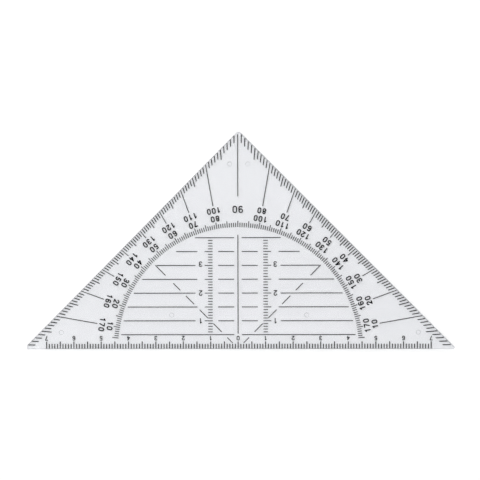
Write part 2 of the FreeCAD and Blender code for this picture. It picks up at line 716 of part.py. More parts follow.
def export(parts):
    """Writes one STEP file for each sub-part, named by its label."""
    os.makedirs("parts", exist_ok=True)
    for part in parts:
        part.Shape.exportStep(f"parts/{part.Label}.step")
        count = len(part.Shape.Solids)
        print(f"{part.Label}: {count} solids, {part.Shape.Volume:.4f} mm3")


parts = [
    make_clear_plate(),
    make_ruler_ticks(),
    make_ruler_numbers(),
    make_arc_ticks(),
    make_outer_degree_numbers(),
    make_inner_degree_numbers(),
    make_leg_ticks("right_leg_ticks", 1, 0),
    make_leg_ticks("left_leg_ticks", -1, 90),
    make_centre_line(),
    make_parallel_lines(),
    make_height_scale("left_height_scale", -1),
    make_height_scale("right_height_scale", 1),
    make_height_numbers(),
    make_diagonal_lines(),
]
for printed in parts[1:]:
    printed.setExpression("Placement.Base.y", "sizes.print_rise")
document.recompute()
check(parts)
export(parts)
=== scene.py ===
# %% [markdown]
# # A clear set square with a protractor
#
# The object is one thin triangle of clear polystyrene. Everything that can be read on it is printed in
# black on its underside: a ruler, two rings of degrees, marks along both legs and a field of parallel
# lines. The lesson keeps the moulding that the engineering model gives and finishes it as clear plastic.
# It draws the print again with Geometry Nodes, because a print is a few rules repeated many times.
#
# The frame's origin is the foot of the ruler's zero mark, on the ruling edge. X runs along that edge, Y
# points at the right-angled corner, and Z = 0 is the printed face. The print is measured from its own
# zero point, which lies 0.2 mm up from the edge.

# %% Load the fixed frame
import cmath
import math

import bpy
from mathutils import Matrix, Vector


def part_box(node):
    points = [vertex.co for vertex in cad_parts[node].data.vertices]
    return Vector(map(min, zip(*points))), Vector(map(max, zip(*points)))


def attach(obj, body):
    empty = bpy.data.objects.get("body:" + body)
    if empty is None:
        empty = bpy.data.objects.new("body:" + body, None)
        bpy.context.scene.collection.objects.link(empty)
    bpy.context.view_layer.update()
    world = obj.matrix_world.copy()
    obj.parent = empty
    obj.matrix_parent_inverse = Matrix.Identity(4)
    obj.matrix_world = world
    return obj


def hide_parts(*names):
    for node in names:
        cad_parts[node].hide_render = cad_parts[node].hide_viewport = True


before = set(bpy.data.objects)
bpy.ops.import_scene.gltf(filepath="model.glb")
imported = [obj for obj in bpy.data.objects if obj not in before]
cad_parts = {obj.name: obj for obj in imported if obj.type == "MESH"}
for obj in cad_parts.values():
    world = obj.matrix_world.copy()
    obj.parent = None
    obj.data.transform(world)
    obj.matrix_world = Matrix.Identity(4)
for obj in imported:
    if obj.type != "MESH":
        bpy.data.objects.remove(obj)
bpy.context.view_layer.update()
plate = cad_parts["clear_plate"]
plate_low, plate_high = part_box("clear_plate")
print("nodes:", sorted(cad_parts))
print("plate from", plate_low, "to", plate_high)

# %% [markdown]
# ## Sizes
#
# Blender works in metres, and a set square is drawn in millimetres. So each size stands in millimetres
# in the step that first needs it, and one function turns it into metres. These few are shared by the
# whole print. The ink is a film 0.03 mm thick, and its upper side is sunk 0.005 mm into the plate: two
# faces in one plane would flicker, and real ink is bonded to the plastic with no air between them. The
# marks along the plate's edges are drawn a little wider than those inside it.

# %% Sizes of the whole print, in millimetres
INK_TOP = 0.005
INK_THICKNESS = 0.035
TICK_WIDTH = 0.26
EDGE_TICK_WIDTH = 0.33
LINE_WIDTH = 0.27
PRINT_RISE = 0.2


def mm(*lengths):
    """Millimetres as metres: a number for one length, a tuple for several."""
    metres = tuple(length * 0.001 for length in lengths)
    return metres[0] if len(metres) == 1 else metres


print("the ink reaches from", mm(INK_TOP), "m down to", mm(INK_TOP - INK_THICKNESS), "m")

# %% [markdown]
# ## Three small helpers
#
# Colours are picked as they look on a screen, in sRGB hex, and shaders count in linear light, so every
# colour goes through one function. Node trees for materials and for geometry are both built with one
# other function, which adds a node, sets its properties and fills or links its inputs. A noise counts
# its cells to the metre, so a third function gives its scale for cells of some size in millimetres.

# %% Helpers for colours and nodes


def linear(hex_colour):
    """An sRGB hex colour as linear red, green, blue and alpha."""
    channels = [int(hex_colour[start : start + 2], 16) / 255 for start in (1, 3, 5)]
    light = [c / 12.92 if c <= 0.04045 else ((c + 0.055) / 1.055) ** 2.4 for c in channels]
    return (*light, 1.0)


def add_node(tree, kind, inputs=None, **settings):
    """Adds a node. An input is given by name or number: a value, a socket, or a node's first output."""
    node = tree.nodes.new(kind)
    for name, setting in settings.items():
        setattr(node, name, setting)
    for name, given in (inputs or {}).items():
        if isinstance(given, bpy.types.Node):
            given = given.outputs[0]
        if isinstance(given, bpy.types.NodeSocket):
            tree.links.new(given, node.inputs[name])
        else:
            node.inputs[name].default_value = given
    return node


def noise_scale(cell):
    """The scale of a noise whose cells are this many millimetres across."""
    return 1 / mm(cell)


print("mid grey #808080 is", [round(c, 3) for c in linear("#808080")])
print("cells of 2 mm take a scale of", round(noise_scale(2)))

# %% [markdown]
# ## The finish of the plate: injection-moulded clear polystyrene
#
# General-purpose polystyrene is glass-clear and stiff, with an index of refraction of 1.59, a little
# above acrylic. From a polished mould it comes out glossy. Three small things keep it from looking like
# perfect glass. It has a faint grey cast, which drifts over a few centimetres as the plastic flowed. Its
# faces have slow waves, about 22 mm long, where it shrank. Fine scuffs make its gloss uneven: they are
# drawn 1 mm across, coarser than real ones, so that they show.
#
# The sides and the bevel are told from the faces by their normal, and are much duller. Light that enters at
# the side of clear plastic bounces to and fro inside it, and a render engine gives up after a few bounces,
# so glossy sides would look black. At a roughness of 0.6, and painted a darker grey, they show the grey
# outline that a real set square has. That grey, #C4C6C9, is painted shade: it stands in for the light that
# the plastic's sides bend away, and is not a colour of the plastic.
#
# A render engine also lets lamplight through clear plastic only as caustics, which are slow and grainy.
# So for shadow rays alone the plate is a plain tinted sheet, and it throws the pale shadow of a real one.

# %% Clear polystyrene
FLOW_SIZE = 35.7
WAVE_SIZE = 22.2
WAVE_DEPTH = 0.05
SCUFF_SIZE = 1.11
SIDE_ROUGHNESS = 0.6
LEAST_UPRIGHT = 0.9


def make_clear_polystyrene():
    material = bpy.data.materials.new("clear_polystyrene")
    material.use_nodes = True
    tree = material.node_tree
    tree.nodes.clear()
    place = add_node(tree, "ShaderNodeTexCoord").outputs["Object"]

    flow = add_node(
        tree, "ShaderNodeTexNoise", {"Vector": place, "Scale": noise_scale(FLOW_SIZE), "Detail": 1.0}
    )
    body_colour = add_node(
        tree,
        "ShaderNodeMix",
        {"Factor": flow, 6: linear("#F2F2F4"), 7: linear("#EEEFF0")},
        data_type="RGBA",
    )
    surface_normal = add_node(tree, "ShaderNodeNewGeometry").outputs["Normal"]
    facing = add_node(tree, "ShaderNodeSeparateXYZ", {0: surface_normal})
    upright = add_node(tree, "ShaderNodeMath", {0: facing.outputs["Z"]}, operation="ABSOLUTE")
    # The sides are picked by their normal. They get both a higher roughness and painted shade.
    side_for_roughness_and_painted_shade = add_node(tree, "ShaderNodeMath", {0: upright, 1: LEAST_UPRIGHT}, operation="LESS_THAN")
    # Painted shade: the sides are given a darker grey than the faces, for the dark outline of clear
    # plastic.
    colour = add_node(
        tree,
        "ShaderNodeMix",
        {"Factor": side_for_roughness_and_painted_shade, 6: body_colour.outputs[2], 7: linear("#C4C6C9")},
        data_type="RGBA",
    )

    scuffs = add_node(
        tree,
        "ShaderNodeTexNoise",
        {"Vector": place, "Scale": noise_scale(SCUFF_SIZE), "Detail": 6.0, "Roughness": 0.7},
    )
    gloss = add_node(
        tree,
        "ShaderNodeMapRange",
        {"Value": scuffs, "From Min": 0.35, "From Max": 0.75, "To Min": 0.03, "To Max": 0.11},
    )
    dullness = add_node(tree, "ShaderNodeMix", {"Factor": side_for_roughness_and_painted_shade, "A": gloss, "B": SIDE_ROUGHNESS})
    waves = add_node(
        tree, "ShaderNodeTexNoise", {"Vector": place, "Scale": noise_scale(WAVE_SIZE), "Detail": 0.0}
    )
    relief = add_node(
        tree, "ShaderNodeBump", {"Height": waves, "Strength": 0.12, "Distance": mm(WAVE_DEPTH)}
    )
    plastic = add_node(
        tree,
        "ShaderNodeBsdfPrincipled",
        {
            "Base Color": colour.outputs[2],
            "Roughness": dullness,
            "IOR": 1.59,
            "Transmission Weight": 1.0,
            "Normal": relief,
        },
    )
    sheet = add_node(tree, "ShaderNodeBsdfTransparent", {"Color": linear("#EBECEE")})
    rays = add_node(tree, "ShaderNodeLightPath")
    surface = add_node(
        tree, "ShaderNodeMixShader", {0: rays.outputs["Is Shadow Ray"], 1: plastic, 2: sheet}
    )
    add_node(tree, "ShaderNodeOutputMaterial", {"Surface": surface})
    return material


clear_polystyrene = make_clear_polystyrene()
plate.data.materials.clear()
plate.data.materials.append(clear_polystyrene)
print("clear polystyrene on", plate.name)

# %% [markdown]
# ## The finish of the print: screen ink
#
# The print is screen ink: black pigment in a binder, dried to a matt film. Seen closely it isn't one
# even black. The mesh of the screen leaves the film a little thicker and thinner, which shows as a
# slightly uneven black and a slightly uneven surface. A screen's threads are about 0.1 mm apart, too fine
# to show, so the grain here is 0.29 mm. The side that is bonded to the plastic has no gloss of its own,
# because ink and plastic bend light almost alike.

# %% Matt black screen ink
INK_GRAIN = 0.2857
GRAIN_DEPTH = 0.01
FILM_GLOSS = 0.5


def make_screen_ink():
    material = bpy.data.materials.new("screen_ink")
    material.use_nodes = True
    tree = material.node_tree
    tree.nodes.clear()
    place = add_node(tree, "ShaderNodeTexCoord").outputs["Object"]
    grain = add_node(
        tree, "ShaderNodeTexNoise", {"Vector": place, "Scale": noise_scale(INK_GRAIN), "Detail": 2.0}
    )
    colour = add_node(
        tree,
        "ShaderNodeMix",
        {"Factor": grain, 6: linear("#121315"), 7: linear("#1D1E20")},
        data_type="RGBA",
    )
    dryness = add_node(
        tree,
        "ShaderNodeMapRange",
        {"Value": grain, "From Min": 0.3, "From Max": 0.7, "To Min": 0.5, "To Max": 0.75},
    )
    relief = add_node(
        tree, "ShaderNodeBump", {"Height": grain, "Strength": 0.2, "Distance": mm(GRAIN_DEPTH)}
    )
    flat_normal = add_node(tree, "ShaderNodeNewGeometry").outputs["True Normal"]
    facing = add_node(tree, "ShaderNodeSeparateXYZ", {0: flat_normal})
    is_bonded = add_node(tree, "ShaderNodeMath", {0: facing.outputs["Z"], 1: 0.5}, operation="GREATER_THAN")
    gloss = add_node(tree, "ShaderNodeMix", {"Factor": is_bonded, "A": FILM_GLOSS, "B": 0.0})
    film = add_node(
        tree,
        "ShaderNodeBsdfPrincipled",
        {
            "Base Color": colour.outputs[2],
            "Roughness": dryness,
            "IOR": 1.5,
            "Specular IOR Level": gloss,
            "Normal": relief,
        },
    )
    add_node(tree, "ShaderNodeOutputMaterial", {"Surface": film})
    return material


screen_ink = make_screen_ink()
print("screen ink:", len(screen_ink.node_tree.nodes), "nodes")

# %% [markdown]
# ## Growing plain meshes from Geometry Nodes
#
# Each kind of mark gets a tree with named inputs. A tree is run once on an object, its result is kept
# as a plain mesh, and the modifier goes away, so that the piece is ordinary geometry from then on. The
# object stays at the origin, and its place is in its mesh.

# %% Helpers for the trees


def new_tree(name, inputs):
    """A Geometry Nodes tree with named inputs, given as name and socket type, and its input node."""
    tree = bpy.data.node_groups.new(name, "GeometryNodeTree")
    tree.interface.new_socket("Geometry", in_out="INPUT", socket_type="NodeSocketGeometry")
    for label, kind in inputs.items():
        tree.interface.new_socket(label, in_out="INPUT", socket_type=f"NodeSocket{kind}")
    tree.interface.new_socket("Geometry", in_out="OUTPUT", socket_type="NodeSocketGeometry")
    return tree, tree.nodes.new("NodeGroupInput")


def close_tree(tree, geometry, material, rise=mm(PRINT_RISE)):
    """Ends a tree: instances become real mesh, rise from the ruling edge and take their material."""
    real = add_node(tree, "GeometryNodeRealizeInstances", {"Geometry": geometry})
    raised = add_node(tree, "GeometryNodeTransform", {"Geometry": real, "Translation": (0, rise, 0)})
    inked = add_node(tree, "GeometryNodeSetMaterial", {"Geometry": raised, "Material": material})
    add_node(tree, "NodeGroupOutput", {0: inked})


def grow(name, tree, values, start=None):
    """Runs a tree on a mesh, or on nothing, and returns the result as a plain object."""
    piece = bpy.data.objects.new(name, start or bpy.data.meshes.new(name))
    bpy.context.scene.collection.objects.link(piece)
    modifier = piece.modifiers.new("grow", "NODES")
    modifier.node_group = tree
    for item in tree.interface.items_tree:
        if item.in_out == "INPUT" and item.name in values:
            modifier[item.identifier] = values[item.name]
    graph = bpy.context.evaluated_depsgraph_get()
    mesh = bpy.data.meshes.new_from_object(piece.evaluated_get(graph))
    piece.modifiers.remove(modifier)
    piece.data = mesh
    mesh.name = name
    return piece


def settle(piece, *nodes):
    """Says which nodes of the frame an inked piece stands for, and what it rides on."""
    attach(piece, "root")
    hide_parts(*nodes)
    print(piece.name, "has", len(piece.data.polygons), "faces")


print("helpers are ready")

# %% [markdown]
# ## Bars: one mark of a scale
#
# A mark is a flat bar of ink. All scales share it: a unit bar is placed on each point, turned, and
# scaled to the mark's width, its length and the film's thickness. Every fifth mark is longer, which a
# tree reads off the mark's index: what is left of it after a division by five is zero.

# %% The bar that every scale shares

MARK_INPUTS = {
    "Count": "Int",
    "Width": "Float",
    "Length": "Float",
    "Long Length": "Float",
    "Long Every": "Int",
    "First Long": "Int",
    "Thickness": "Float",
    "Ink": "Material",
}


def add_unit_bar(tree):
    """A bar 1 wide about Y, 1 long from the origin along Y, and 1 deep below it."""
    cube = add_node(tree, "GeometryNodeMeshCube", {"Size": (1, 1, 1)})
    return add_node(
        tree, "GeometryNodeTransform", {"Geometry": cube.outputs["Mesh"], "Translation": (0, 0.5, -0.5)}
    )


def add_is_multiple(tree, number, divisor):
    """1 where a whole number is a multiple of the divisor, and 0 elsewhere."""
    rest = add_node(tree, "ShaderNodeMath", {0: number, 1: divisor}, operation="FLOORED_MODULO")
    return add_node(tree, "ShaderNodeMath", {0: rest, 1: 0.0, 2: 0.5}, operation="COMPARE")


def add_marks(tree, given, points, turn):
    """Puts a bar on each point, turned about Z, and ends the tree."""
    index = add_node(tree, "GeometryNodeInputIndex")
    since_long = add_node(
        tree, "ShaderNodeMath", {0: index, 1: given.outputs["First Long"]}, operation="SUBTRACT"
    )
    is_long = add_is_multiple(tree, since_long, given.outputs["Long Every"])
    usual = given.outputs["Length"]
    extra = add_node(
        tree, "ShaderNodeMath", {0: given.outputs["Long Length"], 1: usual}, operation="SUBTRACT"
    )
    length = add_node(tree, "ShaderNodeMath", {0: extra, 1: is_long, 2: usual}, operation="MULTIPLY_ADD")
    size = add_node(
        tree,
        "ShaderNodeCombineXYZ",
        {"X": given.outputs["Width"], "Y": length, "Z": given.outputs["Thickness"]},
    )
    bars = add_node(
        tree,
        "GeometryNodeInstanceOnPoints",
        {
            "Points": points,
            "Instance": add_unit_bar(tree),
            "Rotation": add_node(tree, "ShaderNodeCombineXYZ", {"Z": turn}),
            "Scale": size,
        },
    )
    close_tree(tree, bars, given.outputs["Ink"])


print("a mark takes", ", ".join(MARK_INPUTS))

# %% [markdown]
# ## Straight scales: the ruler and the two height scales
#
# A straight scale is a row of points with a bar on each. The ruler runs along the ruling edge with a
# mark for each millimetre. Its marks start 0.05 mm inside the edge, which is below the print's zero
# point. The height scales stand 9.25 mm to each side of the zero line, and their marks point outwards, so
# they are the same tree with its bars turned by a quarter. They fill the room between the lowest and the
# highest of eight parallel lines, which are 5 mm apart and come later.

# %% The tree for straight scales


def make_straight_scale_tree():
    placing = {"Start": "Vector", "Step": "Vector", "Turn": "Float"}
    tree, given = new_tree("straight_scale", {**placing, **MARK_INPUTS})
    points = add_node(
        tree,
        "GeometryNodeMeshLine",
        {
            "Count": given.outputs["Count"],
            "Start Location": given.outputs["Start"],
            "Offset": given.outputs["Step"],
        },
        mode="OFFSET",
    )
    add_marks(tree, given, points, given.outputs["Turn"])
    return tree


straight_scale = make_straight_scale_tree()
print("a straight scale is a tree of", len(straight_scale.nodes), "nodes")

# %% The ruler
RULER_FOOT = -0.15
RULER_HALF = 70
RULER_TICK_TOP = 1.68
RULER_LONG_TICK_TOP = 2.54

bar_of_ink = {
    "Width": mm(TICK_WIDTH),
    "Thickness": mm(INK_THICKNESS),
    "Ink": screen_ink,
    "Long Every": 5,
}
edge_bar_of_ink = {**bar_of_ink, "Width": mm(EDGE_TICK_WIDTH)}

ruler_marks = grow(
    "ruler_marks",
    straight_scale,
    {
        **edge_bar_of_ink,
        "Start": mm(-RULER_HALF, RULER_FOOT, INK_TOP),
        "Step": mm(1, 0, 0),
        "Count": 2 * RULER_HALF + 1,
        "Length": mm(RULER_TICK_TOP - RULER_FOOT),
        "Long Length": mm(RULER_LONG_TICK_TOP - RULER_FOOT),
        "First Long": 0,
    },
)
settle(ruler_marks, "ruler_ticks")

# %% The two height scales
ROW_PITCH = 5
ROW_COUNT = 8
SCALE_SIDE = 9.25
SCALE_TICK = 1.63
SCALE_LONG_TICK = 2.85

for side, name in ((-1, "left"), (1, "right")):
    scale_marks = grow(
        f"{name}_height_marks",
        straight_scale,
        {
            **bar_of_ink,
            "Start": mm(side * SCALE_SIDE, ROW_PITCH + 1, INK_TOP),
            "Step": mm(0, 1, 0),
            "Turn": -side * math.pi / 2,
            "Count": (ROW_COUNT - 1) * ROW_PITCH - 1,
            "Length": mm(SCALE_TICK),
            "Long Length": mm(SCALE_LONG_TICK),
            "First Long": ROW_PITCH - 1,
        },
    )
    settle(scale_marks, f"{name}_height_scale")

# %% [markdown]
# ## The arc of degrees
#
# The protractor's marks stand on a half circle round the print's zero point, one for each degree from 5
# to 175. The points start as a row, and Set Position bends the row into the arc: each point's angle
# follows from its index. A bar points along Y, so it is turned by its angle less a quarter turn.

# %% The tree for the arc


def make_arc_tree():
    placing = {"First Angle": "Float", "Radius": "Float", "Top": "Float"}
    tree, given = new_tree("arc_scale", {**placing, **MARK_INPUTS})
    row = add_node(tree, "GeometryNodeMeshLine", {"Count": given.outputs["Count"]})
    index = add_node(tree, "GeometryNodeInputIndex")
    angle = add_node(
        tree,
        "ShaderNodeMath",
        {0: index, 1: math.radians(1), 2: given.outputs["First Angle"]},
        operation="MULTIPLY_ADD",
    )
    across = add_node(tree, "ShaderNodeMath", {0: angle}, operation="COSINE")
    up = add_node(tree, "ShaderNodeMath", {0: angle}, operation="SINE")
    direction = add_node(tree, "ShaderNodeCombineXYZ", {"X": across, "Y": up})
    reach = add_node(
        tree,
        "ShaderNodeVectorMath",
        {0: direction, "Scale": given.outputs["Radius"]},
        operation="SCALE",
    )
    height = add_node(tree, "ShaderNodeCombineXYZ", {"Z": given.outputs["Top"]})
    place = add_node(tree, "ShaderNodeVectorMath", {0: reach, 1: height}, operation="ADD")
    points = add_node(tree, "GeometryNodeSetPosition", {"Geometry": row, "Position": place})
    turn = add_node(tree, "ShaderNodeMath", {0: angle, 1: math.pi / 2}, operation="SUBTRACT")
    add_marks(tree, given, points, turn)
    return tree


arc_scale = make_arc_tree()
print("the arc is a tree of", len(arc_scale.nodes), "nodes")

# %% The arc's marks
ARC_START = 5
ARC_INNER = 43.83
ARC_TICK = 1.55
ARC_LONG_TICK = 2.25

arc_marks = grow(
    "arc_marks",
    arc_scale,
    {
        **bar_of_ink,
        "First Angle": math.radians(ARC_START),
        "Radius": mm(ARC_INNER),
        "Top": mm(INK_TOP),
        "Count": 180 - 2 * ARC_START + 1,
        "Length": mm(ARC_TICK),
        "Long Length": mm(ARC_LONG_TICK),
        "First Long": 0,
    },
)
settle(arc_marks, "arc_ticks")

# %% [markdown]
# ## The degree marks along the legs
#
# These marks point at the print's zero point and end on lines parallel to the leg, so both their ends
# are slanted, each by a different angle. Bars cut by a boolean would do it, at the cost of 178 cuts. Here
# each corner of a bar is moved instead: the tree stores which mark and which corner a point belongs to,
# and works out where the mark's side meets the line on which it ends. A line parallel to the right leg
# is x + y = c, and one parallel to the left leg is -x + y = c, so the side is one input of the tree and
# each c is a limit. Near the tip a mark ends at an upright line instead, where x is the tip's limit. The
# marks at each tenth degree are long, thinner rays that start on a circle. A leg has a mark for each
# degree between its two ends.

# %% Where a mark's side meets a line


def add_directions(tree, angle):
    """Two directions for an angle about Z: along a mark, and square to it."""
    cosine = add_node(tree, "ShaderNodeMath", {0: angle}, operation="COSINE")
    sine = add_node(tree, "ShaderNodeMath", {0: angle}, operation="SINE")
    minus_sine = add_node(tree, "ShaderNodeMath", {0: sine, 1: -1.0}, operation="MULTIPLY")
    along = add_node(tree, "ShaderNodeCombineXYZ", {"X": cosine, "Y": sine})
    beside = add_node(tree, "ShaderNodeCombineXYZ", {"X": minus_sine, "Y": cosine})
    return along, beside


def add_meeting(tree, along, sideways, normal, limit):
    """How far out a mark's side meets the line that has this normal and limit."""
    start = add_node(tree, "ShaderNodeVectorMath", {0: sideways, 1: normal}, operation="DOT_PRODUCT")
    rate = add_node(tree, "ShaderNodeVectorMath", {0: along, 1: normal}, operation="DOT_PRODUCT")
    left = add_node(tree, "ShaderNodeMath", {0: limit, 1: start.outputs["Value"]}, operation="SUBTRACT")
    return add_node(tree, "ShaderNodeMath", {0: left, 1: rate.outputs["Value"]}, operation="DIVIDE")


print("a side meets a line at (limit - start) / rate")

# %% Bars that know their mark and their corners


def add_named_bars(tree, count):
    """Bars in one mesh, with the mark's degree and the corner of the unit bar stored on each point."""
    row = add_node(tree, "GeometryNodeMeshLine", {"Count": count})
    index = add_node(tree, "GeometryNodeInputIndex")
    degree = add_node(tree, "ShaderNodeMath", {0: index, 1: 1.0}, operation="ADD")
    numbered = add_node(
        tree, "GeometryNodeStoreNamedAttribute", {"Geometry": row, "Name": "degree", "Value": degree}
    )
    corner = add_node(tree, "GeometryNodeInputPosition")
    bar = add_node(
        tree,
        "GeometryNodeStoreNamedAttribute",
        {"Geometry": add_unit_bar(tree), "Name": "corner", 3: corner},
        data_type="FLOAT_VECTOR",
    )
    bars = add_node(tree, "GeometryNodeInstanceOnPoints", {"Points": numbered, "Instance": bar})
    return add_node(tree, "GeometryNodeRealizeInstances", {"Geometry": bars})


print("a corner is -0.5 or 0.5 across, 0 or 1 along, and 0 or -1 deep")

# %% The tree for a leg


def make_leg_tree():
    """The degree marks of one leg. The side is 1 for the right leg and -1 for the left one."""
    limits = ("Ray Start", "Short Limit", "Long Limit", "Leg Limit", "Tip Limit")
    sizes = ("Side", "First Angle", "Width", "Ray Width", "Top", "Thickness")
    inputs = {name: "Float" for name in (*sizes, *limits)}
    tree, given = new_tree("leg_scale", {**inputs, "Count": "Int", "Ink": "Material"})
    bars = add_named_bars(tree, given.outputs["Count"])
    mark = add_node(tree, "GeometryNodeInputNamedAttribute", {"Name": "degree"})
    corner = add_node(
        tree, "GeometryNodeInputNamedAttribute", {"Name": "corner"}, data_type="FLOAT_VECTOR"
    )
    part = add_node(tree, "ShaderNodeSeparateXYZ", {0: corner})
    angle = add_node(
        tree,
        "ShaderNodeMath",
        {0: mark, 1: math.radians(1), 2: given.outputs["First Angle"]},
        operation="MULTIPLY_ADD",
    )
    along, beside = add_directions(tree, angle)

    is_ray = add_is_multiple(tree, mark, 10.0)
    width = add_node(
        tree,
        "ShaderNodeMix",
        {"Factor": is_ray, "A": given.outputs["Width"], "B": given.outputs["Ray Width"]},
    )
    offset = add_node(tree, "ShaderNodeMath", {0: part.outputs["X"], 1: width}, operation="MULTIPLY")
    sideways = add_node(tree, "ShaderNodeVectorMath", {0: beside, "Scale": offset}, operation="SCALE")

    leg_normal = add_node(tree, "ShaderNodeCombineXYZ", {"X": given.outputs["Side"], "Y": 1.0})
    tip_normal = add_node(tree, "ShaderNodeCombineXYZ", {"X": given.outputs["Side"]})
    at_leg, at_tip, at_short, at_long = (
        add_meeting(tree, along, sideways, normal, given.outputs[limit])
        for normal, limit in (
            (leg_normal, "Leg Limit"),
            (tip_normal, "Tip Limit"),
            (leg_normal, "Short Limit"),
            (leg_normal, "Long Limit"),
        )
    )
    outer = add_node(tree, "ShaderNodeMath", {0: at_leg, 1: at_tip}, operation="MINIMUM")
    is_fifth = add_is_multiple(tree, mark, 5.0)
    fifth = add_node(tree, "ShaderNodeMix", {"Factor": is_fifth, "A": at_short, "B": at_long})
    inner = add_node(
        tree, "ShaderNodeMix", {"Factor": is_ray, "A": fifth, "B": given.outputs["Ray Start"]}
    )
    distance = add_node(tree, "ShaderNodeMix", {"Factor": part.outputs["Y"], "A": inner, "B": outer})
    outwards = add_node(tree, "ShaderNodeVectorMath", {0: along, "Scale": distance}, operation="SCALE")
    depth = add_node(
        tree,
        "ShaderNodeMath",
        {0: part.outputs["Z"], 1: given.outputs["Thickness"], 2: given.outputs["Top"]},
        operation="MULTIPLY_ADD",
    )
    height = add_node(tree, "ShaderNodeCombineXYZ", {"Z": depth})
    in_plan = add_node(tree, "ShaderNodeVectorMath", {0: outwards, 1: sideways}, operation="ADD")
    place = add_node(tree, "ShaderNodeVectorMath", {0: in_plan, 1: height}, operation="ADD")
    moved = add_node(tree, "GeometryNodeSetPosition", {"Geometry": bars, "Position": place})
    close_tree(tree, moved, given.outputs["Ink"])
    return tree


leg_scale = make_leg_tree()
print("a leg is a tree of", len(leg_scale.nodes), "nodes")

# %% Both legs
LEG_MARKS = 89
RAY_START = 52.16
LEG_TICK_LIMIT = 75.446
LEG_LONG_TICK_LIMIT = 74.089
LEGS = (
    {"side": 1, "name": "right", "first_angle": 0, "leg_limit": 78.626, "tip_limit": 77.03},
    {"side": -1, "name": "left", "first_angle": 90, "leg_limit": 78.149, "tip_limit": 77.01},
)

for leg in LEGS:
    leg_marks = grow(
        f"{leg['name']}_leg_marks",
        leg_scale,
        {
            "Side": float(leg["side"]),
            "First Angle": math.radians(leg["first_angle"]),
            "Count": LEG_MARKS,
            "Width": mm(EDGE_TICK_WIDTH),
            "Ray Width": mm(LINE_WIDTH),
            "Top": mm(INK_TOP),
            "Thickness": mm(INK_THICKNESS),
            "Ray Start": mm(RAY_START),
            "Short Limit": mm(LEG_TICK_LIMIT),
            "Long Limit": mm(LEG_LONG_TICK_LIMIT),
            "Leg Limit": mm(leg["leg_limit"]),
            "Tip Limit": mm(leg["tip_limit"]),
            "Ink": screen_ink,
        },
    )
    settle(leg_marks, f"{leg['name']}_leg_ticks")

# %% [markdown]
# ## Ruled lines
#
# The parallel lines, the zero line, the ninety-degree line and the two broken diagonals are all thin
# straight lines of ink. Each is given as one edge of a wire mesh, and a tree turns every edge into a
# bar: it stores the edge's own direction and length, makes a point at its middle, and places a bar there.

# %% The tree for ruled lines


def make_ruled_line_tree():
    tree, given = new_tree("ruled_lines", {"Width": "Float", "Thickness": "Float", "Ink": "Material"})
    ends = add_node(tree, "GeometryNodeInputMeshEdgeVertices")
    span = add_node(
        tree,
        "ShaderNodeVectorMath",
        {0: ends.outputs["Position 2"], 1: ends.outputs["Position 1"]},
        operation="SUBTRACT",
    )
    measured = add_node(
        tree,
        "GeometryNodeStoreNamedAttribute",
        {"Geometry": given.outputs["Geometry"], "Name": "span", 3: span},
        data_type="FLOAT_VECTOR",
        domain="EDGE",
    )
    middles = add_node(tree, "GeometryNodeMeshToPoints", {"Mesh": measured}, mode="EDGES")
    stored = add_node(tree, "GeometryNodeInputNamedAttribute", {"Name": "span"}, data_type="FLOAT_VECTOR")
    turn = add_node(tree, "FunctionNodeAlignRotationToVector", {"Vector": stored}, axis="Y")
    length = add_node(tree, "ShaderNodeVectorMath", {0: stored}, operation="LENGTH")
    size = add_node(
        tree,
        "ShaderNodeCombineXYZ",
        {"X": given.outputs["Width"], "Y": length.outputs["Value"], "Z": given.outputs["Thickness"]},
    )
    cube = add_node(tree, "GeometryNodeMeshCube", {"Size": (1, 1, 1)})
    bar = add_node(
        tree, "GeometryNodeTransform", {"Geometry": cube.outputs["Mesh"], "Translation": (0, 0, -0.5)}
    )
    bars = add_node(
        tree,
        "GeometryNodeInstanceOnPoints",
        {"Points": middles, "Instance": bar, "Rotation": turn, "Scale": size},
    )
    close_tree(tree, bars, given.outputs["Ink"])
    return tree


ruled_lines = make_ruled_line_tree()
print("ruled lines are a tree of", len(ruled_lines.nodes), "nodes")


def rule(name, lines, node):
    """Inks a list of lines, each a pair of points in millimetres."""
    wire = bpy.data.meshes.new(name + "_wire")
    points = [mm(*point, INK_TOP) for ends in lines for point in ends]
    wire.from_pydata(points, [(2 * k, 2 * k + 1) for k in range(len(lines))], [])
    values = {"Width": mm(LINE_WIDTH), "Thickness": mm(INK_THICKNESS), "Ink": screen_ink}
    settle(grow(name, ruled_lines, values, wire), node)


# %% The zero line and the ninety-degree line
ZERO_LINE = (5.365, 41)
NINETY_LINE = (54.9, 77.34)

upright_lines = [[(0, height) for height in line] for line in (ZERO_LINE, NINETY_LINE)]
rule("centre_lines", upright_lines, "centre_line")

# %% [markdown]
# The eight parallel lines are 5 mm apart and end just inside the arc. They leave a gap in the middle for
# the zero line, and all but the lowest and the highest have a window for each height scale, which is
# wider where a number stands in it. The line at 35 mm stops a little earlier than the others, and the one
# at 30 mm ends where the diagonals meet it.

# %% The parallel lines
ROW_REACH = 42.93
SHORT_ROW_REACH = 41.58
DIAGONAL_TOP = 30
DIAGONAL_ROW_END = 29.574
MIDDLE_GAP = 1.4
SCALE_WINDOW = (7.2, 14.8)
NUMBER_WINDOW_OUTER = 15.5

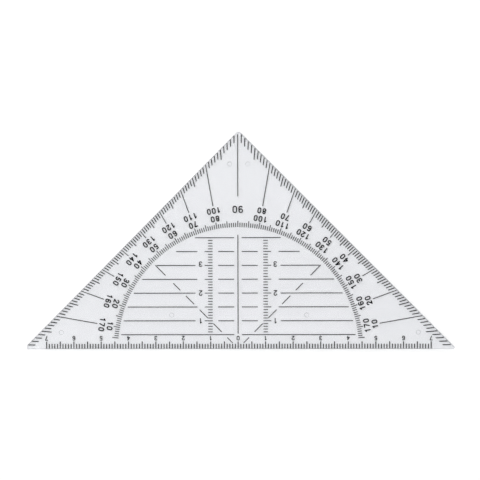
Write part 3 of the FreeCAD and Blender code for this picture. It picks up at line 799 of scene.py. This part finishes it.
row_lines = []
for row in range(1, ROW_COUNT + 1):
    height = row * ROW_PITCH
    reach = math.sqrt((SHORT_ROW_REACH if row == ROW_COUNT - 1 else ROW_REACH) ** 2 - height**2)
    if height == DIAGONAL_TOP:
        reach = DIAGONAL_ROW_END
    spans = [(MIDDLE_GAP, reach)]
    if 1 < row < ROW_COUNT:
        has_number = row % 2 == 0
        window_outer = NUMBER_WINDOW_OUTER if has_number else SCALE_WINDOW[1]
        spans = [(MIDDLE_GAP, SCALE_WINDOW[0]), (window_outer, reach)]
    for inner, outer in spans:
        row_lines += [[(side * inner, height), (side * outer, height)] for side in (-1, 1)]
rule("row_lines", row_lines, "parallel_lines")

# %% [markdown]
# The diagonals rise at 45 degrees from the print's zero point. They break off shortly before and after
# each parallel line, so that no two lines cross, and end at the corners of the line at 30 mm.

# %% The diagonals
DIAGONAL_START = 2.04
DIAGONAL_GAP = 1.0
LAST_DIAGONAL_GAP = 1.4

corner = DIAGONAL_TOP + LINE_WIDTH / 2 / math.sqrt(2)
last_crossing = DIAGONAL_TOP - ROW_PITCH
breaks = [(row - DIAGONAL_GAP, row + DIAGONAL_GAP) for row in range(ROW_PITCH, last_crossing, ROW_PITCH)]
breaks.append((last_crossing - LAST_DIAGONAL_GAP, last_crossing + LAST_DIAGONAL_GAP))
feet = [DIAGONAL_START] + [above for _, above in breaks]
heads = [below for below, _ in breaks] + [corner]
diagonals = [
    [(side * foot, foot), (side * head, head)] for foot, head in zip(feet, heads) for side in (-1, 1)
]
rule("diagonals", diagonals, "diagonal_lines")

# %% [markdown]
# ## Digits
#
# The numbers are drawn as a draughtsman's stencil draws them, with a round pen of one width. So a digit
# is a few pen strokes: each stroke is a path of straight and round stretches, its outline is the area
# that the pen covers, and a tree joins the strokes of a digit into one closed solid. No stroke turns back
# over itself, because its outline would then cross itself and the solid would have faults. So a three is
# its upper bowl, the same bowl mirrored and a short bar between them. Paths are lists of complex numbers,
# because then a turn is a multiplication. A digit is 1 high and stands about its own middle, and a nine is
# a six turned over.

# %% Pen strokes
SHARP_TURN = math.radians(35)
SHARP_STEPS = 4
CAP_STEPS = 6


def arc_points(start, through, end, steps=7):
    """Points on the arc from start to end by way of through, both ends with it."""
    a, b, c = start, through, end
    w = (c - a) / (b - a)
    centre = (b - a) * (w - abs(w) ** 2) / (2j * w.imag) + a
    first = cmath.phase(a - centre)
    sweep = cmath.phase((c - centre) / (a - centre))
    passes = cmath.phase((b - centre) / (a - centre))
    if sweep * passes < 0 or abs(passes) > abs(sweep):
        sweep -= math.copysign(2 * math.pi, sweep)
    radius = abs(a - centre)
    return [centre + cmath.rect(radius, first + sweep * k / steps) for k in range(steps + 1)]


def left_side(path, radius):
    """Points beside a path at the pen's radius, ending with the round cap over its last point."""
    headings = [(b - a) / abs(b - a) for a, b in zip(path, path[1:])]
    points = []
    for here, before, after in zip(path[1:-1], headings, headings[1:]):
        turn = cmath.phase(after / before)
        if turn < -SHARP_TURN:
            fan = [cmath.rect(1, turn * k / SHARP_STEPS) for k in range(SHARP_STEPS + 1)]
            points += [here + radius * 1j * before * direction for direction in fan]
        else:
            bisector = before + after
            points.append(here + radius * 2j * bisector / abs(bisector) ** 2)
    cap = [cmath.rect(1, math.pi * (0.5 - k / CAP_STEPS)) for k in range(CAP_STEPS + 1)]
    return points + [path[-1] + radius * headings[-1] * direction for direction in cap]


def add_stroke(path, radius, vertices, faces):
    """Adds the closed solid of one stroke, from Z = 0 down to -1, to lists of vertices and faces."""
    outline = left_side(path, radius) + left_side(path[::-1], radius)
    outline.reverse()
    first, count = len(vertices), len(outline)
    vertices += [(point.real, point.imag, 0) for point in outline]
    vertices += [(point.real, point.imag, -1) for point in outline]
    faces.append([first + k for k in range(count)])
    faces.append([first + count + k for k in reversed(range(count))])
    for k in range(count):
        after = (k + 1) % count
        faces.append([first + k, first + count + k, first + count + after, first + after])


print("a cap has", CAP_STEPS, "steps")

# %% The digits' paths
DIGIT_REACH = 0.32


def digit_paths(share):
    """The middle lines of each digit's strokes, for strokes that are some share of its height wide."""
    wide = DIGIT_REACH - share / 2
    top = (1 - share) / 2
    bowl = top - wide
    slant = wide * math.sqrt(0.5)
    lean = wide - top / 2
    small = 0.46 * top
    waist = top - 2 * small
    belly = (top + waist) / 2

    zero = arc_points(top * 1j, -slant + (bowl + slant) * 1j, -wide + bowl * 1j)
    zero += arc_points(-wide - bowl * 1j, -slant - (bowl + slant) * 1j, -top * 1j)
    hook, bend = -0.86 * wide + 0.69j * top, -0.47 * wide + 0.94j * top
    three = arc_points(hook, bend, lean + top * 1j, 3)[:-1]
    three += arc_points(lean + top * 1j, wide + top / 2 * 1j, lean)
    stem = 0.23 * wide
    four = 0.5 * wide + top * 1j
    turn = -0.78 * wide - 0.05j * top
    six = arc_points(0.78 * wide + (bowl + 0.626 * wide) * 1j, top * 1j, -wide + bowl * 1j)
    six += arc_points(-wide - bowl * 1j, -top * 1j, wide - bowl * 1j)
    paths = {
        0: [zero, [-point.conjugate() for point in zero]],
        1: [[-0.58 * wide + 0.57j * top, stem + top * 1j, stem - top * 1j]],
        2: [arc_points(-wide + bowl * 1j, top * 1j, slant + (bowl - slant) * 1j, 9)],
        3: [three, [point.conjugate() for point in three], [-0.27 * wide, lean]],
        4: [[four, four.conjugate()], [four, -wide - 0.39j * top, wide - 0.39j * top]],
        5: [
            [0.82 * wide + top * 1j, -0.7 * wide + top * 1j, turn],
            arc_points(turn, wide - bowl * 1j, -0.86 * wide - 0.71j * top, 12),
        ],
        6: [six, arc_points(-wide - bowl * 1j, (wide - bowl) * 1j, wide - bowl * 1j)],
        7: [[-wide + top * 1j, wide + top * 1j, -0.31 * wide - top * 1j]],
        8: [
            arc_points(-small + (top - small) * 1j, top * 1j, small + (top - small) * 1j),
            arc_points(-small + (top - small) * 1j, waist * 1j, small + (top - small) * 1j),
            arc_points(-belly + (belly - top) * 1j, waist * 1j, belly + (belly - top) * 1j),
            arc_points(-belly + (belly - top) * 1j, -top * 1j, belly + (belly - top) * 1j),
        ],
    }
    paths[2][0] += [-wide - top * 1j, wide - top * 1j]
    paths[9] = [[-point for point in path] for path in paths[6]]
    return paths


print("digits:", sorted(digit_paths(0.15)))

# %% Join each digit's strokes


def make_joining_tree():
    """Joins solids that overlap into one closed solid."""
    tree, given = new_tree("join_strokes", {"Ink": "Material"})
    joined = add_node(
        tree,
        "GeometryNodeMeshBoolean",
        {"Mesh 2": given.outputs["Geometry"], "Self Intersection": True},
        operation="UNION",
        solver="EXACT",
    )
    close_tree(tree, joined, given.outputs["Ink"], rise=0)
    return tree


join_strokes = make_joining_tree()


def make_digits(name, share):
    """A collection of the ten digits, 1 high, with strokes that are some share of the height wide."""
    digits = bpy.data.collections.new(name)
    for number, paths in sorted(digit_paths(share).items()):
        vertices, faces = [], []
        for path in paths:
            add_stroke(path, share / 2, vertices, faces)
        strokes = bpy.data.meshes.new(f"{name}_strokes_{number}")
        strokes.from_pydata(vertices, [], faces)
        digit = grow(f"{name}_{number}", join_strokes, {"Ink": screen_ink}, strokes)
        bpy.context.scene.collection.objects.unlink(digit)
        digits.objects.link(digit)
    return digits


# %% [markdown]
# ## Numbers
#
# Python lays the numbers out: one point for each digit, with the digit to put there and its turn stored
# on the point. A tree then places the digits. On the rings each number has its head towards the zero
# mark, and on the ruler and the height scales the numbers stand on their heads, for a reader who sits
# with the ruling edge away from them. The ninety is larger than the other numbers, and each three stands
# a little above its line.

# %% The tree for numbers


def make_number_tree():
    tree, given = new_tree(
        "numbers", {"Digits": "Collection", "Height": "Float", "Thickness": "Float", "Ink": "Material"}
    )
    choices = add_node(
        tree,
        "GeometryNodeCollectionInfo",
        {"Collection": given.outputs["Digits"], "Separate Children": True, "Reset Children": True},
    )
    digit = add_node(tree, "GeometryNodeInputNamedAttribute", {"Name": "digit"}, data_type="INT")
    turn = add_node(tree, "GeometryNodeInputNamedAttribute", {"Name": "turn"})
    size = add_node(
        tree,
        "ShaderNodeCombineXYZ",
        {"X": given.outputs["Height"], "Y": given.outputs["Height"], "Z": given.outputs["Thickness"]},
    )
    placed = add_node(
        tree,
        "GeometryNodeInstanceOnPoints",
        {
            "Points": given.outputs["Geometry"],
            "Instance": choices,
            "Pick Instance": True,
            "Instance Index": digit,
            "Rotation": add_node(tree, "ShaderNodeCombineXYZ", {"Z": turn}),
            "Scale": size,
        },
    )
    close_tree(tree, placed, given.outputs["Ink"])
    return tree


number_tree = make_number_tree()
print("numbers are a tree of", len(number_tree.nodes), "nodes")

# %% Lay out numbers
DIGIT_PITCH = 0.83


def print_numbers(name, numbers, height, stroke):
    """Prints numbers, each given as the number, its middle in millimetres and its turn in degrees.

    One digit is DIGIT_PITCH of the number's height from the next.
    """
    spots, chosen, turns = [], [], []
    for number, x, y, turned in numbers:
        text = str(number)
        turn = math.radians(turned)
        for k, character in enumerate(text):
            shift = (k - (len(text) - 1) / 2) * DIGIT_PITCH * height
            spots.append(mm(x + shift * math.cos(turn), y + shift * math.sin(turn), INK_TOP))
            chosen.append(int(character))
            turns.append(turn)
    points = bpy.data.meshes.new(name + "_points")
    points.from_pydata(spots, [], [])
    points.attributes.new("digit", "INT", "POINT").data.foreach_set("value", chosen)
    points.attributes.new("turn", "FLOAT", "POINT").data.foreach_set("value", turns)
    digits = make_digits(f"{name}_digits", stroke / height)
    values = {"Digits": digits, "Height": mm(height), "Thickness": mm(INK_THICKNESS), "Ink": screen_ink}
    return grow(name, number_tree, values, points)


print("a digit is", DIGIT_PITCH, "of its height from the next")

# %% The ruler's numbers
RULER_NUMBER_HEIGHT = 1.665
RULER_NUMBER_STROKE = 0.28
RULER_NUMBER_MIDDLE = 3.7325

last = RULER_HALF // 10
centimetres = [(abs(k), 10 * k, RULER_NUMBER_MIDDLE, 180) for k in range(-last, last + 1)]
ruler_figures = print_numbers("ruler_figures", centimetres, RULER_NUMBER_HEIGHT, RULER_NUMBER_STROKE)
settle(ruler_figures, "ruler_numbers")

# %% Numbers on the two rings
NUMBER_HEIGHT = 2.15
NINETY_HEIGHT = 2.6
NUMBER_STROKE = 0.39
OUTER_RING = 50.425
INNER_RING = 47.475


def round_zero(radius, angle):
    """A point in millimetres on a circle round the print's zero point."""
    return radius * math.cos(math.radians(angle)), radius * math.sin(math.radians(angle))


tens = [angle for angle in range(10, 180, 10) if angle != 90]
outer = [(angle, *round_zero(OUTER_RING, angle), angle + 90) for angle in tens]
inner = [(180 - angle, *round_zero(INNER_RING, angle), angle + 90) for angle in tens]
ninety = [(90, 0, OUTER_RING + (NUMBER_HEIGHT - NINETY_HEIGHT) / 2, 180)]
settle(print_numbers("outer_figures", outer, NUMBER_HEIGHT, NUMBER_STROKE), "outer_degree_numbers")
settle(print_numbers("ninety_figures", ninety, NINETY_HEIGHT, NUMBER_STROKE), "outer_degree_numbers")
settle(print_numbers("inner_figures", inner, NUMBER_HEIGHT, NUMBER_STROKE), "inner_degree_numbers")

# %% Numbers beside the height scales
HEIGHT_NUMBER_SIDE = 13.6
HEIGHT_NUMBER_HEIGHT = 2.0
HEIGHT_NUMBER_STROKE = 0.29
TOP_NUMBER_RISE = 0.45

heights = []
for number in (1, 2, 3):
    rise = TOP_NUMBER_RISE if number == 3 else 0
    heights += [(number, side * HEIGHT_NUMBER_SIDE, 10 * number + rise, 180) for side in (-1, 1)]
height_figures = print_numbers("height_figures", heights, HEIGHT_NUMBER_HEIGHT, HEIGHT_NUMBER_STROKE)
settle(height_figures, "height_numbers")

# %% [markdown]
# ## The table and the room
#
# A clear thing shows what is behind and around it, so the room matters as much as the plastic. The
# table is pale and the walls are white. A pale table under plain lamps is grey to the camera, and more
# light would bleach the object. So the table glows a little for the camera alone, which makes it white
# where it is bare, and a little less for rays that come through the plate or are mirrored in it. Its
# shadows stay, as a glow is added to them. It lies 0.01 mm under the nubs' feet: two faces in one plane
# would flicker.

# %% The table
SEEN_BARE = 0.38
SEEN_THROUGH = 0.24
TABLE_GAP = 0.01
TABLE_HALF = 6.0


def make_table_paint():
    material = bpy.data.materials.new("table_paint")
    material.use_nodes = True
    tree = material.node_tree
    tree.nodes.clear()
    paint = add_node(tree, "ShaderNodeBsdfDiffuse", {"Color": linear("#E6E6E6")})
    rays = add_node(tree, "ShaderNodeLightPath")
    behind = add_node(
        tree,
        "ShaderNodeMath",
        {0: rays.outputs["Is Transmission Ray"], 1: rays.outputs["Is Glossy Ray"]},
        operation="MAXIMUM",
    )
    through = add_node(tree, "ShaderNodeMath", {0: behind, 1: SEEN_THROUGH}, operation="MULTIPLY")
    seen = rays.outputs["Is Camera Ray"]
    bare = add_node(tree, "ShaderNodeMath", {0: seen, 1: SEEN_BARE}, operation="MULTIPLY")
    strength = add_node(tree, "ShaderNodeMath", {0: bare, 1: through}, operation="MAXIMUM")
    glow = add_node(tree, "ShaderNodeEmission", {"Color": (1, 1, 1, 1), "Strength": strength})
    both = add_node(tree, "ShaderNodeAddShader", {0: paint, 1: glow})
    add_node(tree, "ShaderNodeOutputMaterial", {"Surface": both})
    return material


table_mesh = bpy.data.meshes.new("table")
table_level = plate_low.z - mm(TABLE_GAP)
round_the_table = ((-1, -1), (1, -1), (1, 1), (-1, 1))
table_corners = [(x * TABLE_HALF, y * TABLE_HALF, table_level) for x, y in round_the_table]
table_mesh.from_pydata(table_corners, [], [(0, 1, 2, 3)])
table_mesh.materials.append(make_table_paint())
table = bpy.data.objects.new("table", table_mesh)
bpy.context.scene.collection.objects.link(table)
print("the table stands at", round(table_level * 1000, 3), "mm")

# %% [markdown]
# The room is a plain white sky. Straight above it is dark for mirrored rays alone: a camera and a ceiling
# hang there, and their dim reflection keeps the print black. The change starts where a direction's
# height passes 0.6 and ends at 0.95, so a low view still mirrors the white walls. The lamps are large and
# soft.

# %% The room
WALL_LIGHT = 0.55
CEILING_STARTS = 0.6
CEILING_FULL = 0.95
CEILING_LIGHT = 0.12


def make_room():
    world = bpy.data.worlds.new("room")
    world.use_nodes = True
    tree = world.node_tree
    tree.nodes.clear()
    direction = add_node(tree, "ShaderNodeTexCoord").outputs["Generated"]
    upwards = add_node(tree, "ShaderNodeSeparateXYZ", {0: direction})
    mirrored = add_node(
        tree,
        "ShaderNodeMapRange",
        {
            "Value": upwards.outputs["Z"],
            "From Min": CEILING_STARTS,
            "From Max": CEILING_FULL,
            "To Min": 1.0,
            "To Max": CEILING_LIGHT,
        },
        interpolation_type="SMOOTHSTEP",
    )
    rays = add_node(tree, "ShaderNodeLightPath")
    seen = add_node(
        tree,
        "ShaderNodeMath",
        {0: rays.outputs["Is Camera Ray"], 1: rays.outputs["Is Transmission Ray"]},
        operation="MAXIMUM",
    )
    lighting = add_node(
        tree, "ShaderNodeMix", {"Factor": rays.outputs["Is Glossy Ray"], "A": WALL_LIGHT, "B": mirrored}
    )
    strength = add_node(tree, "ShaderNodeMix", {"Factor": seen, "A": lighting, "B": 1.0})
    background = add_node(tree, "ShaderNodeBackground", {"Color": (1, 1, 1, 1), "Strength": strength})
    add_node(tree, "ShaderNodeOutputWorld", {"Surface": background})
    return world


bpy.context.scene.world = make_room()
print("the room lights with", WALL_LIGHT, "and mirrors as", CEILING_LIGHT, "straight above")

# %% The lamps


def add_lamp(name, place, aim, width, power):
    """A square soft lamp that shines from a place at a point, in metres and watts."""
    light = bpy.data.lights.new(name, "AREA")
    light.size = width
    light.energy = power
    lamp = bpy.data.objects.new(name, light)
    lamp.location = place
    lamp.rotation_euler = (Vector(aim) - Vector(place)).to_track_quat("-Z", "Y").to_euler()
    bpy.context.scene.collection.objects.link(lamp)
    return lamp


middle = ((plate_low + plate_high) / 2).to_tuple()
add_lamp("key_lamp", place=(-0.45, 0.42, 0.6), aim=middle, width=0.6, power=3.1)
add_lamp("fill_lamp", place=(1.4, -0.4, 1.2), aim=middle, width=0.8, power=3.0)

# %% [markdown]
# ## The camera
#
# A long lens from far away keeps the triangle's proportions. It looks almost straight down, from 7.5
# degrees to the right, at the middle of the triangle's height. The camera starts over the aim, is moved
# back along its own axis, and is then tilted about the aim.

# %% The camera
CAMERA_YAW = math.radians(7.45)
CAMERA_ROLL = math.radians(-0.16)
CAMERA_DISTANCE = 2.3
CAMERA_AIM = Vector(mm(0.711, 39.352, 0))
SENSOR_WIDTH = 36.0
FOCAL_LENGTH = 477.8
NEAREST, FARTHEST = 0.1, 50.0

lens = bpy.data.cameras.new("camera")
lens.sensor_width = SENSOR_WIDTH
lens.lens = FOCAL_LENGTH
lens.clip_start = NEAREST
lens.clip_end = FARTHEST
camera = bpy.data.objects.new("camera", lens)
tilt = Matrix.Rotation(CAMERA_YAW, 4, "Y")
camera.matrix_world = (
    Matrix.Translation(CAMERA_AIM)
    @ tilt
    @ Matrix.Translation((0, 0, CAMERA_DISTANCE))
    @ Matrix.Rotation(CAMERA_ROLL, 4, "Z")
)
bpy.context.scene.collection.objects.link(camera)
bpy.context.scene.camera = camera
bpy.context.scene.view_settings.view_transform = "Standard"
print("the camera stands at", [round(part, 3) for part in camera.location])

# %% [markdown]
# ## Finish
#

# %% Finish
bpy.context.view_layer.update()
